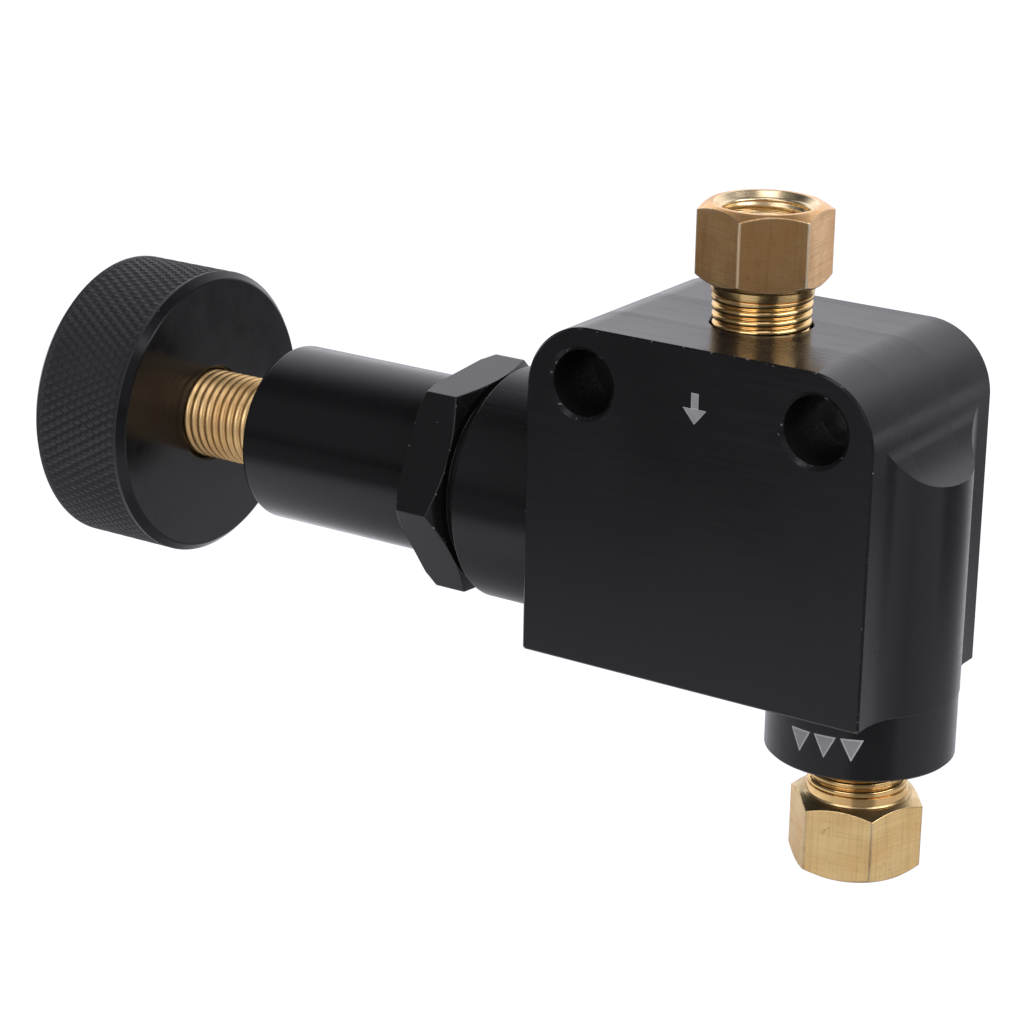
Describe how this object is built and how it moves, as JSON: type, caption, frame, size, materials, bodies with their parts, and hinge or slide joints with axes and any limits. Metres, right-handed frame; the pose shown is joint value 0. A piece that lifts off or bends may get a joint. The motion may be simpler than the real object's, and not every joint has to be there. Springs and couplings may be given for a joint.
{
  "type": "adjustable proportioning valve",
  "caption": "Black anodised block valve with a knurled adjuster knob on a brass screw, a hexagon bonnet and brass inlet and outlet adapters.",
  "frame": {"origin": "midway between the two mounting holes, on the mounting face at the back of the block", "axes": "+X along the adjuster axis from the knob to the block, +Y the outward normal of the mounting face, +Z from the outlet to the inlet"},
  "size_m": [0.1074, 0.0324, 0.0678],
  "materials": {
    "body_anodise": "black anodised, satin",
    "bonnet_anodise": "black anodised, satin, turned",
    "knob_anodise": "black anodised, diamond knurled, matt",
    "screw_brass": "cut thread, bright",
    "fitting_brass": "machined, slightly tarnished",
    "piston_brass": "turned",
    "dark_steel": "black oxide",
    "bright_steel": "ground",
    "spring_steel": "drawn wire, oiled",
    "rubber": "moulded, matt",
    "white_plastic": "turned"
  },
  "bodies": {
    "housing": {"valve_body": "body_anodise", "bonnet": "bonnet_anodise", "in_fitting": "fitting_brass", "out_fitting": "fitting_brass", "bonnet_o_ring": "rubber", "drag_o_ring": "rubber", "main_spring": "spring_steel", "stem_guide": "piston_brass", "guide_o_ring": "rubber", "stem_backup_ring": "white_plastic", "stem_seal": "rubber", "valve_seal": "rubber", "seal_retainer": "piston_brass"},
    "spring_follower": {"spring_cap": "bright_steel", "thrust_ball": "bright_steel"},
    "adjuster": {"adjuster_screw": "screw_brass", "adjuster_knob": "knob_anodise", "knob_set_screw": "dark_steel", "screw_stop_ring": "dark_steel"},
    "shuttle": {"piston": "piston_brass", "spring_seat": "bright_steel"}
  },
  "joints": [
    {"name": "follower_slide", "type": "slide", "parent": "housing", "child": "spring_follower", "axis": [1, 0, 0], "range_m": [0, 0.011], "deforming": ["main_spring"]},
    {"name": "adjuster_turn", "type": "hinge", "parent": "spring_follower", "child": "adjuster", "pos_m": [-0.0716, -0.0127, -0.01665], "axis": [1, 0, 0], "range_deg": [0, 3996]},
    {"name": "piston_slide", "type": "slide", "parent": "housing", "child": "shuttle", "axis": [-1, 0, 0], "range_m": [0, 0.0016], "stiffness_N_per_m": 1500}
  ],
  "couplings": [
    {"joint": "adjuster_turn", "follows": "follower_slide", "rad_per_m": 6283.2}
  ]
}
